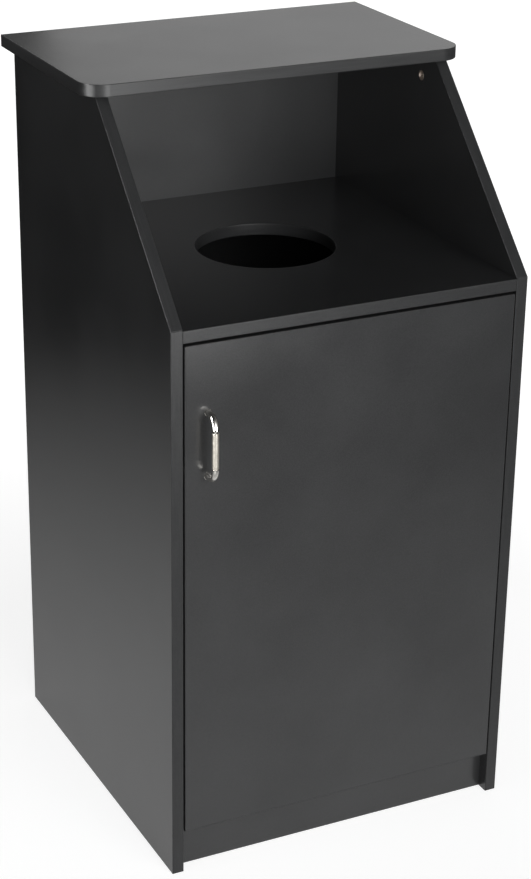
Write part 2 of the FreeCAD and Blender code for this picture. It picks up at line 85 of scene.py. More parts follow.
class Graph:
    """A node tree that is built by plain calls, one node at a time."""

    def __init__(self, tree: bpy.types.NodeTree) -> None:
        """Take the node tree of a material or of the world, and empty it."""
        self.tree = tree
        tree.nodes.clear()

    def add(self, kind: str, inputs: dict | None = None, **settings: object) -> bpy.types.Node:
        """Add a node, set or link its inputs, and set its options.

        Args:
            kind: Blender's name for the node's type.
            inputs: Socket names or identifiers, each with a value or with the socket to link from.
            settings: Options of the node, by attribute name.

        Returns:
            The new node.
        """
        node = self.tree.nodes.new(kind)
        for name, value in settings.items():
            setattr(node, name, value)
        for name, value in (inputs or {}).items():
            socket = next(one for one in node.inputs if name in (one.identifier, one.name))
            if isinstance(value, Socket):
                self.tree.links.new(value, socket)
            else:
                socket.default_value = value
        return node

    def coordinates(self, stretch: Triple = (1.0, 1.0, 1.0)) -> Socket:
        """Object coordinates in metres; a larger stretch makes a pattern finer along that axis."""
        place = self.add("ShaderNodeTexCoord").outputs["Object"]
        return self.add("ShaderNodeMapping", {"Vector": place, "Scale": stretch}).outputs["Vector"]

    def noise(self, place: Socket, scale: float, detail: float = 2.0) -> Socket:
        """Noise between 0 and 1, with this many lumps in a metre and this many finer layers."""
        inputs = {"Vector": place, "Scale": scale, "Detail": detail}
        return self.add("ShaderNodeTexNoise", inputs).outputs["Fac"]

    def span(self, value: Socket, source: Range, target: Range) -> Socket:
        """Carry a value from one range to another, held at both ends.

        Args:
            value: Socket to read.
            source: Lowest and highest value read.
            target: Values given for them.

        Returns:
            Result socket.
        """
        inputs = {
            "Value": value,
            "From Min": source[0],
            "From Max": source[1],
            "To Min": target[0],
            "To Max": target[1],
        }
        return self.add("ShaderNodeMapRange", inputs).outputs["Result"]

    def sums(self, how: str, *numbers: object) -> Socket:
        """One sum of up to three sockets or plain numbers, by Blender's name for the operation."""
        inputs = dict(zip(("Value", "Value_001", "Value_002"), numbers))
        return self.add("ShaderNodeMath", inputs, operation=how).outputs["Value"]

    def blend(self, share: Socket, first: object, second: object) -> Socket:
        """Mix two colours.

        Args:
            share: Part of the second colour, from 0 to 1.
            first: Socket or colour.
            second: Socket or colour.

        Returns:
            Colour socket.
        """
        inputs = {"Factor_Float": share, "A_Color": first, "B_Color": second}
        mixed = self.add("ShaderNodeMix", inputs, data_type="RGBA")
        return next(one for one in mixed.outputs if one.identifier == "Result_Color")

    def shade(self, value: Socket, source: Range, dark: Colour, light: Colour) -> Socket:
        """Colour that goes from dark to light as a value goes through a range."""
        share = self.span(value, source, NONE_TO_ALL)
        return self.blend(share, opaque(dark), opaque(light))

    def bump(self, height: Socket, depth: float, strength: float, arris: float | None = None) -> Socket:
        """Surface relief.

        Args:
            height: Socket with the relief, from 0 to 1.
            depth: Depth of the relief in metres.
            strength: Share of that depth that shows.
            arris: Radius in metres to which edges look rounded, or None to leave them.

        Returns:
            Normal socket.
        """
        inputs = {"Height": height, "Distance": depth, "Strength": strength}
        if arris is not None:
            inputs["Normal"] = self.add("ShaderNodeBevel", {"Radius": arris}).outputs["Normal"]
        return self.add("ShaderNodeBump", inputs).outputs["Normal"]

    def surface(self, inputs: dict) -> None:
        """End the tree in a principled shader with these inputs."""
        shader = self.add("ShaderNodeBsdfPrincipled", inputs).outputs["BSDF"]
        self.add("ShaderNodeOutputMaterial", {"Surface": shader})


@dataclass(frozen=True)
class Finish:
    """A finish that makes its material when it is first asked for."""

    name: str

    def material(self) -> bpy.types.Material:
        """The finish's material.

        Returns:
            Material of this name, made on first use.
        """
        if self.name not in MADE:
            made = bpy.data.materials.new(self.name)
            made.use_nodes = True
            self.build(Graph(made.node_tree))
            MADE[self.name] = made
        return MADE[self.name]

    def build(self, graph: Graph) -> None:
        """Fill the node tree; each finish has its own way."""
        raise NotImplementedError


class RawEdge(Enum):
    """Which faces of a board were sawn and left without a strip."""

    NONE = "none"
    LEVEL = "faces that look up or down"
    UPRIGHT = "faces that look sideways"


@dataclass(frozen=True)
class Laminate(Finish):
    """Black melamine with a fine pearl texture on chipboard, whose bare edges show its chips."""

    raw_edge: RawEdge = RawEdge.NONE
    dark: Colour = (0.0225, 0.023, 0.0237)
    light: Colour = (0.035, 0.0356, 0.0365)
    roughness: Range = (0.2, 0.26)
    refraction: float = 1.6
    pearls_per_metre: float = 750.0
    clouds_per_metre: float = 6.0
    relief: float = 0.12 * MILLIMETRE
    relief_share: float = 0.2
    chip_dark: Colour = (0.16, 0.095, 0.05)
    chip_light: Colour = (0.46, 0.33, 0.2)
    chip_roughness: float = 0.85
    chip_stretch: Triple = (1.0, 1.0, 2.2)
    chip_relief: float = 4.0
    chips_per_metre: float = 420.0

    # Upward share of a face's normal, as it comes to count as level and as it stops being upright
    looks_level: Range = (0.9, 0.95)
    looks_upright: Range = (0.05, 0.1)

    def build(self, graph: Graph) -> None:
        """Speckled black skin with soft clouds in its gloss, and chips where an edge is bare.

        Args:
            graph: Tree to fill.
        """
        place = graph.coordinates()
        pearl = graph.noise(place, self.pearls_per_metre)
        cloud = graph.noise(place, self.clouds_per_metre, FINEST_DETAIL)
        both = graph.sums("ADD", pearl, cloud)
        colour = graph.shade(both, TWO_NOISES, self.dark, self.light)
        gloss = graph.span(both, TWO_NOISES_MIDDLE, self.roughness)
        height = pearl
        if self.raw_edge is not RawEdge.NONE:
            bare = self.bare_share(graph)
            chips = graph.noise(graph.coordinates(self.chip_stretch), self.chips_per_metre, FINE_DETAIL)
            chip_colour = graph.shade(chips, NOISE_MIDDLE, self.chip_dark, self.chip_light)
            colour = graph.blend(bare, colour, chip_colour)
            gloss = graph.sums("MAXIMUM", gloss, graph.sums("MULTIPLY", bare, self.chip_roughness))
            depth = graph.sums("MULTIPLY", bare, self.chip_relief)
            height = graph.sums("MULTIPLY_ADD", depth, chips, pearl)
        relief = graph.bump(height, self.relief, self.relief_share)
        graph.surface({"Base Color": colour, "Roughness": gloss, "Normal": relief, "IOR": self.refraction})

    def bare_share(self, graph: Graph) -> Socket:
        """How far a face is one of the bare ones, from 0 to 1.

        Args:
            graph: Tree to add to.

        Returns:
            Value socket.
        """
        normal = graph.add("ShaderNodeTexCoord").outputs["Normal"]
        upward = graph.add("ShaderNodeSeparateXYZ", {"Vector": normal}).outputs["Z"]
        level = graph.sums("ABSOLUTE", upward)
        if self.raw_edge is RawEdge.LEVEL:
            return graph.span(level, self.looks_level, NONE_TO_ALL)
        return graph.span(level, self.looks_upright, ALL_TO_NONE)


class Across(Enum):
    """Axis across a strip, along which its drawn lines follow each other."""

    X = (1.0, 0.02, 0.02)
    Y = (0.02, 1.0, 0.02)
    Z = (0.02, 0.02, 1.0)


@dataclass(frozen=True)
class EdgeStrip(Finish):
    """Black plastic strip with fine lines along its length."""

    across: Across = Across.X
    dark: Colour = (0.019, 0.0194, 0.02)
    light: Colour = (0.032, 0.0326, 0.0334)
    roughness: Range = (0.28, 0.36)
    refraction: float = 1.45
    lines_per_metre: float = 900.0
    specks_per_metre: float = 500.0
    relief: float = 0.08 * MILLIMETRE
    relief_share: float = 0.4
    arris: float = 2.2 * MILLIMETRE

    def build(self, graph: Graph) -> None:
        """Drawn lines with a light speckle over them.

        Args:
            graph: Tree to fill.
        """
        lines = graph.noise(graph.coordinates(self.across.value), self.lines_per_metre, FINE_DETAIL)
        specks = graph.noise(graph.coordinates(), self.specks_per_metre)
        both = graph.sums("ADD", lines, specks)
        colour = graph.shade(both, TWO_NOISES, self.dark, self.light)
        gloss = graph.span(lines, NOISE, self.roughness)
        relief = graph.bump(lines, self.relief, self.relief_share, self.arris)
        graph.surface({"Base Color": colour, "Roughness": gloss, "Normal": relief, "IOR": self.refraction})


@dataclass(frozen=True)
class Metal(Finish):
    """Bare or plated metal with fine lines and soft clouds in its polish."""

    dark: Colour = (0.5, 0.48, 0.45)
    light: Colour = (0.7, 0.68, 0.65)
    roughness: Range = (0.2, 0.35)
    stretch: Triple = (1.0, 1.0, 1.0)
    lines_per_metre: float = 3000.0
    clouds_per_metre: float = 160.0
    relief: float = 0.01 * MILLIMETRE
    relief_share: float = 0.5

    def build(self, graph: Graph) -> None:
        """Fine lines the way that the metal was worked, over soft clouds.

        Args:
            graph: Tree to fill.
        """
        lines = graph.noise(graph.coordinates(self.stretch), self.lines_per_metre)
        clouds = graph.noise(graph.coordinates(), self.clouds_per_metre, FINE_DETAIL)
        both = graph.sums("ADD", lines, clouds)
        colour = graph.shade(both, TWO_NOISES, self.dark, self.light)
        gloss = graph.span(both, TWO_NOISES_MIDDLE, self.roughness)
        relief = graph.bump(lines, self.relief, self.relief_share)
        graph.surface({"Base Color": colour, "Roughness": gloss, "Normal": relief, "Metallic": 1.0})


@dataclass(frozen=True)
class Beech(Finish):
    """Plain beech, as turned into dowels."""

    dark: Colour = (0.32, 0.19, 0.1)
    light: Colour = (0.56, 0.38, 0.22)
    roughness: Range = (0.55, 0.75)
    stretch: Triple = (0.15, 1.0, 1.0)
    fibres_per_metre: float = 1600.0
    relief: float = 0.1 * MILLIMETRE
    relief_share: float = 0.5

    def build(self, graph: Graph) -> None:
        """Short fibres along the dowel.

        Args:
            graph: Tree to fill.
        """
        fibres = graph.noise(graph.coordinates(self.stretch), self.fibres_per_metre, FINEST_DETAIL)
        colour = graph.shade(fibres, NOISE, self.dark, self.light)
        gloss = graph.span(fibres, NOISE, self.roughness)
        relief = graph.bump(fibres, self.relief, self.relief_share)
        graph.surface({"Base Color": colour, "Roughness": gloss, "Normal": relief})


@dataclass(frozen=True)
class Rubber(Finish):
    """Soft grey rubber of the door's bumpers."""

    dark: Colour = (0.09, 0.09, 0.085)
    light: Colour = (0.14, 0.14, 0.135)
    roughness: Range = (0.6, 0.75)
    grains_per_metre: float = 2200.0
    relief: float = 0.05 * MILLIMETRE
    relief_share: float = 0.5

    def build(self, graph: Graph) -> None:
        """Dull and slightly grainy.

        Args:
            graph: Tree to fill.
        """
        grains = graph.noise(graph.coordinates(), self.grains_per_metre, FINE_DETAIL)
        colour = graph.shade(grains, NOISE_MIDDLE, self.dark, self.light)
        gloss = graph.span(grains, NOISE_MIDDLE, self.roughness)
        relief = graph.bump(grains, self.relief, self.relief_share)
        graph.surface({"Base Color": colour, "Roughness": gloss, "Normal": relief})


BOARD = Laminate("laminate_board")
UPRIGHT_BOARD = Laminate("laminate_board_sawn_ends", raw_edge=RawEdge.LEVEL)
DULL_BOARD = Laminate(
    "laminate_board_dull", raw_edge=RawEdge.LEVEL, roughness=(0.28, 0.33), refraction=1.48
)
LEVEL_BOARD = Laminate("laminate_board_sawn_sides", raw_edge=RawEdge.UPRIGHT)
UPRIGHT_STRIP = EdgeStrip("black_strip_lines_across_x", across=Across.X)
DOOR_STRIP = EdgeStrip("black_strip_lines_across_y", across=Across.Y)
LEVEL_STRIP = EdgeStrip("black_strip_lines_across_z", across=Across.Z)
POLISHED_NICKEL = Metal(
    "nickel_polish", dark=(0.66, 0.64, 0.6), light=(0.78, 0.76, 0.72), roughness=(0.06, 0.13),
    relief=0.002 * MILLIMETRE,
)
SATIN_NICKEL = Metal(
    "nickel_satin", dark=(0.6, 0.56, 0.49), light=(0.78, 0.74, 0.66), roughness=(0.28, 0.4),
    stretch=(0.05, 0.05, 1.0), lines_per_metre=5000.0,
)
ZINC_CAM = Metal("cam_zinc", dark=(0.42, 0.34, 0.28), light=(0.68, 0.6, 0.53), roughness=(0.45, 0.6))
ZINC_STEEL = Metal("bolt_zinc", dark=(0.46, 0.46, 0.44), light=(0.66, 0.66, 0.63), roughness=(0.25, 0.42))
PLATED_STEEL = Metal(
    "hinge_plating", dark=(0.5, 0.49, 0.47), light=(0.68, 0.67, 0.64), roughness=(0.16, 0.3)
)
BEECH = Beech("beech_dowel")
RUBBER = Rubber("rubber_bumper")


def dress(nodes: str, finish: Finish) -> None:
    """Give CAD nodes a finish.

    Args:
        nodes: Names of the nodes, with a space between them.
        finish: Finish that they get.
    """
    for name in nodes.split():
        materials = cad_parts[name].data.materials
        materials.clear()
        materials.append(finish.material())
        log.info("%s: %s", name, finish.name)


class Piece:
    """A mesh that is modelled by hand, step by step, from a disc."""

    def __init__(self, name: str, radius: float, corners: int, place: Vector, facing: Vector) -> None:
        """Add the disc and go into edit mode with its face selected.

        Args:
            name: Name of the piece.
            radius: Radius of the disc in metres.
            corners: Number of corners round it.
            place: Its centre.
            facing: Direction that its face looks in.
        """
        bpy.ops.object.select_all(action="DESELECT")
        turn = UP.rotation_difference(facing).to_euler()
        bpy.ops.mesh.primitive_circle_add(
            vertices=corners, radius=radius, fill_type="NGON", location=place, rotation=turn
        )
        self.thing = bpy.context.object
        self.thing.name = name
        self.thing.data.name = name
        self.radius = radius
        bpy.ops.object.transform_apply(location=True, rotation=True, scale=True)
        bpy.ops.object.mode_set(mode="EDIT")
        bpy.ops.mesh.select_mode(type="FACE")
        bpy.ops.mesh.select_all(action="SELECT")

    def middle(self) -> Vector:
        """Middle of the selected corners, in metres."""
        corners = [corner.co for corner in bmesh.from_edit_mesh(self.thing.data).verts if corner.select]
        return sum(corners, Vector()) / len(corners)

    def extrude(self, step: Vector, radius: float | None = None) -> None:
        """Draw the selected face out, and bring it to a new radius.

        Args:
            step: How far and which way.
            radius: Radius at the end of the step, or None to keep it.
        """
        bpy.ops.mesh.extrude_region_move(TRANSFORM_OT_translate={"value": step})
        if radius is not None:
            factor = radius / self.radius
            bpy.ops.transform.resize(value=(factor, factor, factor), center_override=self.middle())
            self.radius = radius

    def inset(self, radius: float) -> None:
        """Set a face with a smaller radius into the selected one."""
        bpy.ops.mesh.inset(thickness=self.radius - radius, depth=0.0)
        self.radius = radius

    def spin(self, angle: float, centre: Vector, axis: Vector, steps: int) -> None:
        """Sweep the selected face round a centre, by an angle in radians."""
        bpy.ops.mesh.spin(steps=steps, angle=angle, center=centre, axis=axis)

    def choose(self, test: Callable[[Vector, Vector], bool], radius: float) -> None:
        """Select faces by their place and direction.

        Args:
            test: Takes a face's centre and normal, and says whether it is wanted.
            radius: Radius of the chosen face.
        """
        bpy.ops.mesh.select_all(action="DESELECT")
        work = bmesh.from_edit_mesh(self.thing.data)
        for face in work.faces:
            face.select_set(test(face.calc_center_median(), face.normal))
        bmesh.update_edit_mesh(self.thing.data)
        self.radius = radius

    def close(self) -> None:
        """Merge doubles, turn the faces outwards and leave edit mode."""
        bpy.ops.mesh.select_all(action="SELECT")
        bpy.ops.mesh.remove_doubles(threshold=SAME_PLACE)
        bpy.ops.mesh.normals_make_consistent(inside=False)
        bpy.ops.object.mode_set(mode="OBJECT")

    def cut(self, cutter: bpy.types.Object) -> None:
        """Take another shape out of this one, and delete that shape.

        Args:
            cutter: Closed mesh.
        """
        self.pick()
        modifier = self.thing.modifiers.new("recess", "BOOLEAN")
        modifier.object = cutter
        modifier.operation = "DIFFERENCE"
        bpy.ops.object.modifier_apply(modifier=modifier.name)
        bpy.data.objects.remove(cutter)

    def soften(self, width: float, segments: int = 2) -> None:
        """Round the sharp edges.

        Args:
            width: Width of the rounding in metres.
            segments: Number of faces across it.
        """
        self.pick()
        modifier = self.thing.modifiers.new("arris", "BEVEL")
        modifier.width = width
        modifier.segments = segments
        modifier.limit_method = "ANGLE"
        modifier.angle_limit = ROUNDED_FROM
        bpy.ops.object.modifier_apply(modifier=modifier.name)

    def pick(self) -> None:
        """Make this piece the only selected one."""
        bpy.ops.object.select_all(action="DESELECT")
        self.thing.select_set(True)
        bpy.context.view_layer.objects.active = self.thing

    def smooth(self) -> None:
        """Shade the round faces smooth and keep the sharp edges."""
        self.pick()
        bpy.ops.object.shade_smooth_by_angle(angle=SMOOTH_UP_TO)


def seat(thing: bpy.types.Object, body: str, node: str, finish: Finish) -> None:
    """Let a finished piece stand for a CAD node on its body.

    Args:
        thing: The piece.
        body: Body that it moves with.
        node: CAD node that it stands for.
        finish: Finish that it gets.
    """
    thing.data.materials.clear()
    thing.data.materials.append(finish.material())
    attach(thing, body)
    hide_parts(node)
    log.info("%s: stands for %s on %s", thing.name, node, body)


def copies(master: Piece, name: str, places: list[Matrix]) -> Iterator[bpy.types.Object]:
    """Copy a piece to several places, each copy with its own mesh, and delete the first one.

    Args:
        master: Piece modelled at the origin, looking up.
        name: Name of the copies, which are numbered.
        places: Where each copy goes.

    Returns:
        The copies, one after another.
    """
    for number, place in enumerate(places, 1):
        thing = master.thing.copy()
        thing.data = master.thing.data.copy()
        thing.name = f"{name}_{number}"
        thing.data.name = thing.name
        thing.data.transform(place)
        bpy.context.scene.collection.objects.link(thing)
        yield thing
    bpy.data.objects.remove(master.thing)


def standing(place: Vector, facing: Vector, turn: float = 0.0) -> Matrix:
    """Matrix of a copy that stands at a place and faces one way, turned about its axis in radians."""
    tilt = UP.rotation_difference(facing).to_matrix().to_4x4()
    return Matrix.Translation(place) @ tilt @ Matrix.Rotation(turn, 4, "Z")


def cross_cutter(length: float, width: float, depth: float,
                 taper: Triple = (0.45, 0.75, 1.0)) -> bpy.types.Object:
    """Cross-shaped cutter with slanted ends, sunk from the height 0.

    Args:
        length: Length of each arm pair.
        width: Width of an arm.
        depth: Depth under the height 0; it stands as far over it.
        taper: Size of its lower end against its upper end, along an arm, across it and upwards.

    Returns:
        Closed mesh.
    """
    bpy.ops.object.select_all(action="DESELECT")
    bpy.ops.mesh.primitive_cube_add(size=1.0, scale=(length, width, 2 * depth))
    first = bpy.context.object
    bpy.ops.object.transform_apply(location=True, rotation=True, scale=True)
    bpy.ops.object.mode_set(mode="EDIT")
    bpy.ops.mesh.select_mode(type="FACE")
    bpy.ops.mesh.select_all(action="DESELECT")
    work = bmesh.from_edit_mesh(first.data)
    for face in work.faces:
        face.select_set(face.normal.z < -SQUARE_ON)
    bmesh.update_edit_mesh(first.data)
    bpy.ops.transform.resize(value=taper, center_override=(0.0, 0.0, -depth))
    bpy.ops.object.mode_set(mode="OBJECT")
    second = first.copy()
    second.data = first.data.copy()
    second.data.transform(Matrix.Rotation(math.pi / 2, 4, "Z"))
    bpy.context.scene.collection.objects.link(second)
    union = first.modifiers.new("cross", "BOOLEAN")
    union.object = second
    union.operation = "UNION"
    bpy.ops.object.modifier_apply(modifier=union.name)
    bpy.data.objects.remove(second)
    return first


@dataclass
class Screw:
    """Pan-head screw with a cross recess."""

    head_radius: float
    head_height: float
    shank_radius: float
    shank_length: float
    corners: int = 32

    # Each step of the dome, as shares of the head's height and radius
    dome: tuple[Pair, ...] = ((0.35, 1.0), (0.3, 0.93), (0.22, 0.76), (0.13, 0.5))

    # Recess as shares of the head's diameter and height, and the tip as a share of the shank's radius
    recess_length: float = 0.62
    recess_width: float = 0.16
    recess_depth: float = 0.75
    tip: float = 0.15

    def build(self, name: str) -> Piece:
        """Model the screw at the origin, its head on the height 0 and looking up.

        Args:
            name: Name of the piece.

        Returns:
            The finished piece.
        """
        screw = Piece(name, self.head_radius, self.corners, Vector(), UP)
        for height, radius in self.dome:
            screw.extrude(UP * (self.head_height * height), self.head_radius * radius)
        screw.choose(self.is_seat, self.head_radius)
        screw.inset(self.shank_radius)
        screw.extrude(-UP * (self.shank_length - self.shank_radius))
        screw.extrude(-UP * self.shank_radius, self.shank_radius * self.tip)
        screw.close()
        cutter = cross_cutter(
            2 * self.head_radius * self.recess_length,
            2 * self.head_radius * self.recess_width,
            self.head_height * self.recess_depth,
        )
        cutter.data.transform(Matrix.Translation(UP * self.head_height))
        screw.cut(cutter)
        screw.smooth()
        return screw

    @staticmethod
    def is_seat(centre: Vector, normal: Vector) -> bool:
        """Whether a face is the flat one under the head."""
        return abs(centre.z) < SAME_PLACE and abs(normal.z) > SQUARE_ON


@dataclass
class CamLock:
    """Round cam with a dished face, a cross recess and a bore for its bolt."""

    radius: float = 7.5 * MILLIMETRE
    depth: float = 12.5 * MILLIMETRE
    rim: float = 1.0 * MILLIMETRE
    dish_radius: float = 5.2 * MILLIMETRE
    dish_depth: float = 2.4 * MILLIMETRE
    round_edge: float = 0.25 * MILLIMETRE
    corners: int = 48
    bolt_level: float = 9.0 * MILLIMETRE
    bolt_radius: float = 3.6 * MILLIMETRE
    bore_past_axis: float = 1.6 * MILLIMETRE
    recess_length: float = 6.0 * MILLIMETRE
    recess_width: float = 1.6 * MILLIMETRE
    recess_depth: float = 2.4 * MILLIMETRE

    def build(self, name: str) -> Piece:
        """Model the cam at the origin, its face at the height 0 and looking up, its bolt coming from +X.

        Args:
            name: Name of the piece.

        Returns:
            The finished piece.
        """
        cam = Piece(name, self.radius, self.corners, -UP * self.depth, UP)
        cam.extrude(UP * self.depth)
        cam.inset(self.radius - self.rim)
        cam.extrude(-UP * self.dish_depth, self.dish_radius)
        cam.close()
        cam.soften(self.round_edge)
        cutter = cross_cutter(self.recess_length, self.recess_width, self.recess_depth)
        cutter.data.transform(Matrix.Translation(-UP * self.dish_depth))
        cam.cut(cutter)
        bore_end = Vector((-self.bore_past_axis, 0.0, -self.bolt_level))
        bore = Piece("bolt_bore", self.bolt_radius, self.corners, bore_end, RIGHT)
        bore.extrude(RIGHT * (2 * self.radius))
        bore.close()
        cam.cut(bore.thing)
        cam.smooth()
        return cam


@dataclass
class PullHandle:
    """Bow pull on the door: two polished ends and a satin grip between two grooves."""

    foot_radius: float = 5.4 * MILLIMETRE
    bar_radius: float = 5.0 * MILLIMETRE
    neck_radius: float = 4.0 * MILLIMETRE
    spigot_radius: float = 2.5 * MILLIMETRE
    spigot_length: float = 6.0 * MILLIMETRE
    spigot_play: float = 0.1 * MILLIMETRE
    bore_overshoot: float = 1.0 * MILLIMETRE
    groove: float = 1.0 * MILLIMETRE
    bend_radius: float = 19.5 * MILLIMETRE
    collar: float = 0.9 * MILLIMETRE
    round_edge: float = 0.4 * MILLIMETRE
    corners: int = 48
    bend_steps: int = 24

    # How much slimmer than the bar the grip is, in millimetres, from its lower end to its upper end
    slimming: tuple[float, ...] = (0.1, 0.02, 0.0, 0.02, 0.1)

    def __post_init__(self) -> None:
        """Read the handle's places from the frame."""
        grip_low, grip_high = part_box("handle_grip")
        upper_low, upper_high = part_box("handle_upper_end")
        lower_low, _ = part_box("handle_lower_end")
        self.bar = (grip_low + grip_high) / 2
        self.grip_length = grip_high.z - grip_low.z
        self.door_y = upper_high.y
        self.foot_z = {1: upper_high.z - self.foot_radius, -1: lower_low.z + self.foot_radius}
        upper_groove = upper_low.z + self.spigot_length
        self.groove_z = {1: upper_groove, -1: 2 * self.bar.z - upper_groove}

    def build(self) -> None:
        """Model and seat the three pieces."""
        for name, side in (("upper", 1), ("lower", -1)):
            end = self.end(f"pull_{name}_end", side)
            seat(end, "door", f"handle_{name}_end", POLISHED_NICKEL)
        seat(self.grip(), "door", "handle_grip", SATIN_NICKEL)

    def end(self, name: str, side: int) -> bpy.types.Object:
        """One curved end, from its foot on the door to the spigot inside the grip.

        Args:
            name: Name of the piece.
            side: 1 for the upper end and -1 for the lower one.

        Returns:
            The finished mesh object.
        """
        inward = -UP * side
        foot = Vector((self.bar.x, self.door_y, self.foot_z[side]))
        leg = self.door_y - self.bar.y - self.bend_radius
        piece = Piece(name, self.foot_radius, self.corners, foot, -BACK)
        piece.extrude(-BACK * (self.collar - self.round_edge))
        piece.extrude(-BACK * self.round_edge, self.bar_radius)
        piece.extrude(-BACK * (leg - self.collar))
        centre = foot - BACK * leg + inward * self.bend_radius
        piece.spin(-math.pi / 2 * side, centre, RIGHT, self.bend_steps)
        straight = abs(self.groove_z[side] - centre.z) - self.groove
        piece.extrude(inward * (straight - self.round_edge))
        piece.extrude(inward * self.round_edge, self.bar_radius - self.round_edge)
        piece.inset(self.neck_radius)
        piece.extrude(inward * self.groove)
        piece.inset(self.spigot_radius)
        piece.extrude(inward * self.spigot_length)
        piece.close()
        piece.smooth()
        return piece.thing

    def grip(self) -> bpy.types.Object:
        """Straight grip, barely fuller in the middle, with a bore for a spigot at each end.

        Returns:
            The finished mesh object.
        """
        start = Vector((self.bar.x, self.bar.y, self.bar.z - self.grip_length / 2))
        piece = Piece("pull_grip", self.bar_radius - self.round_edge, self.corners, start, UP)
        first, *others = [self.bar_radius - slimming * MILLIMETRE for slimming in self.slimming]
        piece.extrude(UP * self.round_edge, first)
        step = (self.grip_length - 2 * self.round_edge) / len(others)
        for radius in others:
            piece.extrude(UP * step, radius)
        piece.extrude(UP * self.round_edge, self.bar_radius - self.round_edge)
        piece.close()
        for side in (1, -1):
            outside = self.bar + UP * (side * (self.grip_length / 2 + self.bore_overshoot))
            bore = Piece("spigot_bore", self.spigot_radius, self.corners, outside, -UP * side)
            bore.extrude(-UP * (side * (self.bore_overshoot + self.spigot_length + self.spigot_play)))
            bore.close()
            piece.cut(bore.thing)
        piece.smooth()
        return piece.thing


@dataclass
class Carcass:
    """Boards, strips and bumpers that stand still, by node names."""

    upright_boards: str = "left_side_panel right_side_panel kick_board"
    back: str = "back_panel"
    level_boards: str = "deck_board floor_board"
    top: str = "top_board"
    front_strips: str = "left_front_strip right_front_strip left_slope_strip right_slope_strip"
    rear_strips: str = "left_rear_strip right_rear_strip"
    level_strips: str = "top_front_strip top_rear_strip deck_front_strip floor_front_strip"
    hole_strip: str = "deck_hole_strip"
    bumpers: str = "door_bumpers"

    def dress(self) -> None:
        """Give every board, strip and bumper its finish."""
        dress(self.upright_boards, UPRIGHT_BOARD)
        dress(self.back, DULL_BOARD)
        dress(self.level_boards, LEVEL_BOARD)
        dress(self.top, BOARD)
        dress(self.front_strips, UPRIGHT_STRIP)
        dress(self.rear_strips, UPRIGHT_STRIP)
        dress(self.level_strips, LEVEL_STRIP)
        dress(self.hole_strip, LEVEL_STRIP)
        dress(self.bumpers, RUBBER)


@dataclass
class Door:
    """Door panel with its strips, by node names."""

    panel: str = "door_panel"
    strips: str = "door_left_strip door_right_strip door_bottom_strip door_top_strip"

    def dress(self) -> None:
        """Give the door its finish."""
        dress(self.panel, BOARD)
        dress(self.strips, DOOR_STRIP)


class ScrewPair(Enum):
    """How two screws lie that hold one piece of a hinge."""

    STACKED = "one above the other"
    IN_LINE = "one behind the other"


